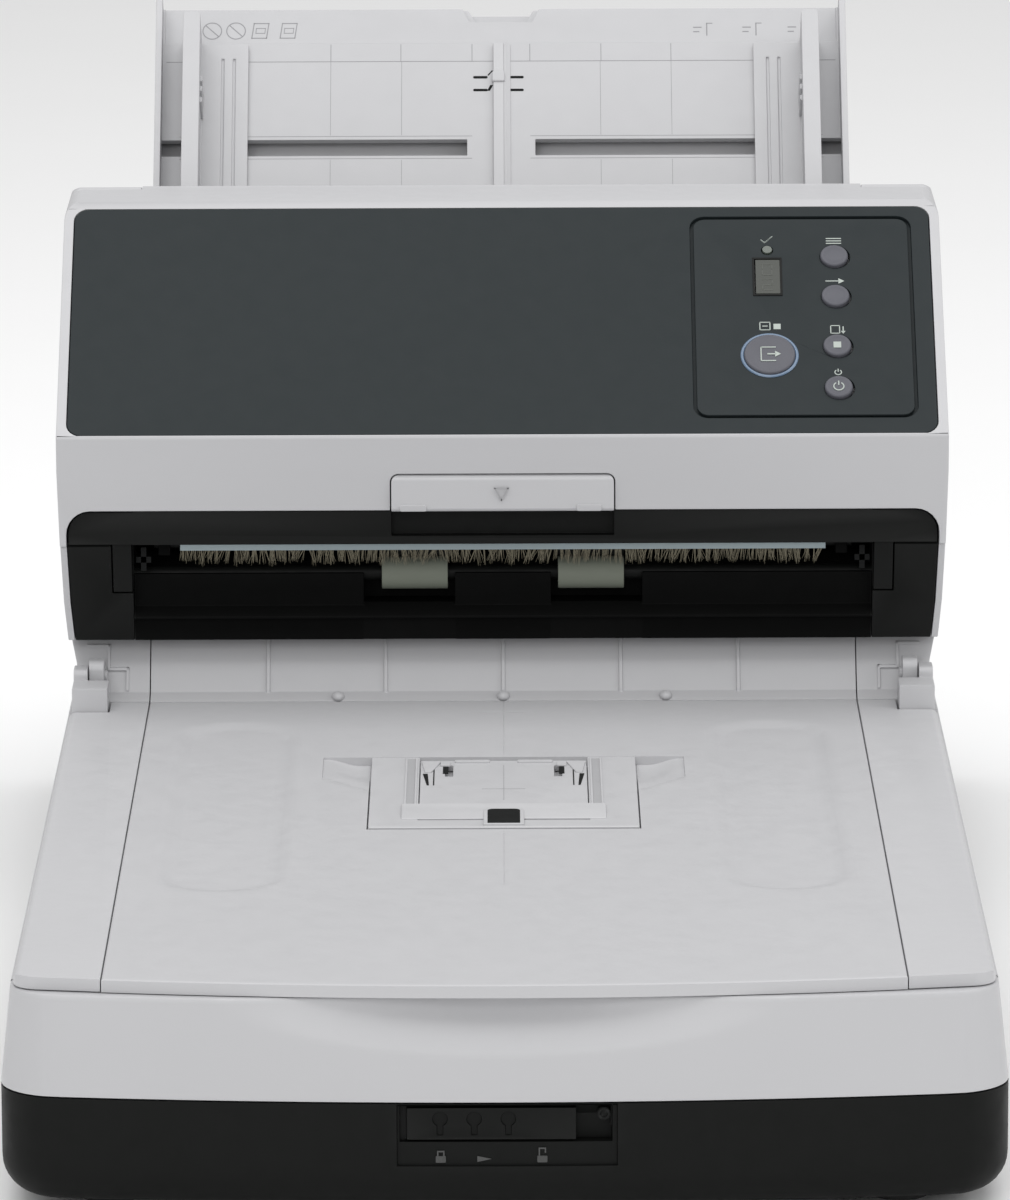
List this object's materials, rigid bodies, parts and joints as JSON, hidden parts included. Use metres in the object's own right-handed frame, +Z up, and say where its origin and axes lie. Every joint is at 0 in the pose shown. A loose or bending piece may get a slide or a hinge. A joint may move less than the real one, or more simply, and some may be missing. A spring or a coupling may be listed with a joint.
{
  "type": "document scanner",
  "caption": "Flatbed document scanner with a hinged cover and a sheet feeder behind it, with a sloping paper chute, side guides, keys and rollers.",
  "frame": {"origin": "centre of the footprint's bounding box, on the table", "axes": "+X to the right seen from the front, +Y from the front edge to the back, +Z up"},
  "size_m": [0.3, 0.5782, 0.2862],
  "materials": {
    "light_plastic": "fine-textured moulded plastic, pale grey",
    "dark_plastic": "fine-textured moulded plastic, near black",
    "panel_plastic": "satin moulded plastic, dark slate",
    "key_plastic": "satin plastic keys, mid grey",
    "display": "reflective display behind a clear window",
    "lamp_lens": "translucent lamp lens",
    "glass": "clear float glass",
    "foot_rubber": "matt rubber",
    "roller_rubber": "ground rubber, grey green",
    "steel": "bright drawn steel",
    "bristle": "fine conductive bristles",
    "white_sheet": "white backing sheet on foam"
  },
  "bodies": {
    "base": {"base_lower_case": "dark_plastic", "base_upper_frame": "light_plastic", "foot_front_left": "foot_rubber", "foot_rear_left": "foot_rubber", "foot_front_right": "foot_rubber", "foot_rear_right": "foot_rubber", "flatbed_glass": "glass", "carriage_rail": "steel", "carriage_belt": "foot_rubber", "carriage_motor": "steel", "connector_plate": "dark_plastic", "power_inlet": "steel", "exit_ramp": "light_plastic", "feeder_lower_case": "dark_plastic", "feeder_rear_cover": "light_plastic", "feeder_side_left": "light_plastic", "feeder_side_right": "light_plastic", "lower_read_glass": "glass", "feeder_belt": "foot_rubber", "chute_tray": "light_plastic"},
    "lock_slider": {"transport_lock_slider": "dark_plastic"},
    "carriage": {"carriage": "dark_plastic"},
    "carriage_pulley": {"carriage_pulley": "steel"},
    "document_cover": {"cover_center_panel": "light_plastic", "document_pad": "white_sheet", "cover_side_left": "light_plastic", "cover_side_right": "light_plastic", "cover_hinge_left": "light_plastic", "cover_hinge_right": "light_plastic"},
    "stopper": {"stopper_plate": "light_plastic", "stopper_tip": "light_plastic"},
    "feeder_cover": {"feeder_top_cover": "light_plastic", "feeder_inner_frame": "dark_plastic", "upper_read_glass": "glass", "brush_strip": "steel", "brush_bristles": "bristle", "operator_panel": "panel_plastic", "control_panel": "panel_plastic", "display_window": "display", "status_lamp": "lamp_lens"},
    "release_tab": {"release_tab": "light_plastic"},
    "scan_key": {"scan_button": "key_plastic"},
    "menu_key": {"menu_button": "key_plastic"},
    "function_key": {"function_button": "key_plastic"},
    "stop_key": {"stop_button": "key_plastic"},
    "power_key": {"power_button": "key_plastic"},
    "exit_drive": {"exit_drive_shaft": "dark_plastic", "exit_roller_left": "roller_rubber", "exit_roller_right": "roller_rubber"},
    "feed_drive": {"feed_drive_shaft": "steel", "feed_roller": "roller_rubber"},
    "pick_drive": {"pick_drive_shaft": "steel", "pick_roller": "roller_rubber"},
    "exit_idler": {"exit_idler": "dark_plastic"},
    "brake_roller": {"brake_roller": "roller_rubber"},
    "extension": {"chute_extension": "light_plastic"},
    "inner_extension": {"chute_inner_extension": "light_plastic"},
    "guide_left": {"side_guide_left": "light_plastic"},
    "guide_right": {"side_guide_right": "light_plastic"},
    "guide_pinion": {"guide_pinion": "light_plastic"}
  },
  "joints": [
    {"name": "cover_open", "type": "hinge", "parent": "base", "child": "document_cover", "pos_m": [0, 0.09693, 0.0805], "axis": [-1, 0, 0], "range_deg": [0, 75]},
    {"name": "stopper_fold", "type": "hinge", "parent": "document_cover", "child": "stopper", "pos_m": [0, -0.08767, 0.0711], "axis": [-1, 0, 0], "range_deg": [-90, 0]},
    {"name": "feeder_open", "type": "hinge", "parent": "base", "child": "feeder_cover", "pos_m": [0, 0.20007, 0.22324], "axis": [-1, 0, 0], "range_deg": [0, 60]},
    {"name": "release_pull", "type": "hinge", "parent": "feeder_cover", "child": "release_tab", "pos_m": [0, 0.08693, 0.1503], "axis": [-1, 0, 0], "range_deg": [0, 12], "stiffness_Nm_per_rad": 0.05},
    {"name": "scan_press", "type": "slide", "parent": "feeder_cover", "child": "scan_key", "axis": [0, 0.6225, -0.7826], "range_m": [0, 0.001], "stiffness_N_per_m": 300},
    {"name": "menu_press", "type": "slide", "parent": "feeder_cover", "child": "menu_key", "axis": [0, 0.6225, -0.7826], "range_m": [0, 0.001], "stiffness_N_per_m": 300},
    {"name": "function_press", "type": "slide", "parent": "feeder_cover", "child": "function_key", "axis": [0, 0.6225, -0.7826], "range_m": [0, 0.001], "stiffness_N_per_m": 300},
    {"name": "stop_press", "type": "slide", "parent": "feeder_cover", "child": "stop_key", "axis": [0, 0.6225, -0.7826], "range_m": [0, 0.001], "stiffness_N_per_m": 300},
    {"name": "power_press", "type": "slide", "parent": "feeder_cover", "child": "power_key", "axis": [0, 0.6225, -0.7826], "range_m": [0, 0.001], "stiffness_N_per_m": 300},
    {"name": "lock_slide", "type": "slide", "parent": "base", "child": "lock_slider", "axis": [1, 0, 0], "range_m": [0, 0.005]},
    {"name": "carriage_travel", "type": "slide", "parent": "base", "child": "carriage", "axis": [0, 1, 0], "range_m": [0, 0.255]},
    {"name": "carriage_pulley_spin", "type": "hinge", "parent": "base", "child": "carriage_pulley", "pos_m": [0.044, 0.05953, 0.049], "axis": [0, 0, 1], "range_deg": [0, 2010]},
    {"name": "feed_spin", "type": "hinge", "parent": "base", "child": "feed_drive", "pos_m": [0, 0.15093, 0.134], "axis": [1, 0, 0], "continuous": true},
    {"name": "exit_spin", "type": "hinge", "parent": "base", "child": "exit_drive", "pos_m": [0, 0.10293, 0.1145], "axis": [1, 0, 0], "continuous": true},
    {"name": "pick_spin", "type": "hinge", "parent": "base", "child": "pick_drive", "pos_m": [0, 0.17893, 0.1525], "axis": [1, 0, 0], "continuous": true},
    {"name": "exit_idler_spin", "type": "hinge", "parent": "feeder_cover", "child": "exit_idler", "pos_m": [0, 0.10293, 0.1247], "axis": [1, 0, 0], "continuous": true},
    {"name": "brake_spin", "type": "hinge", "parent": "feeder_cover", "child": "brake_roller", "pos_m": [0, 0.15093, 0.1482], "axis": [1, 0, 0], "continuous": true},
    {"name": "extension_slide", "type": "slide", "parent": "base", "child": "extension", "axis": [0, 0.6293, 0.7771], "range_m": [0, 0.03]},
    {"name": "inner_extension_slide", "type": "slide", "parent": "extension", "child": "inner_extension", "axis": [0, 0.6293, 0.7771], "range_m": [0, 0.025]},
    {"name": "guide_left_slide", "type": "slide", "parent": "base", "child": "guide_left", "axis": [1, 0, 0], "range_m": [0, 0.075]},
    {"name": "guide_right_slide", "type": "slide", "parent": "base", "child": "guide_right", "axis": [-1, 0, 0], "range_m": [0, 0.075]},
    {"name": "pinion_spin", "type": "hinge", "parent": "base", "child": "guide_pinion", "pos_m": [0, 0.246, 0.23643], "axis": [0, -0.7771, 0.6293], "range_deg": [0, 720]}
  ],
  "couplings": [
    {"joint": "carriage_pulley_spin", "follows": "carriage_travel", "rad_per_m": 137},
    {"joint": "exit_spin", "follows": "feed_spin", "ratio": 1},
    {"joint": "pick_spin", "follows": "feed_spin", "ratio": 1},
    {"joint": "guide_right_slide", "follows": "guide_left_slide", "ratio": 1},
    {"joint": "pinion_spin", "follows": "guide_left_slide", "rad_per_m": 166.67}
  ]
}
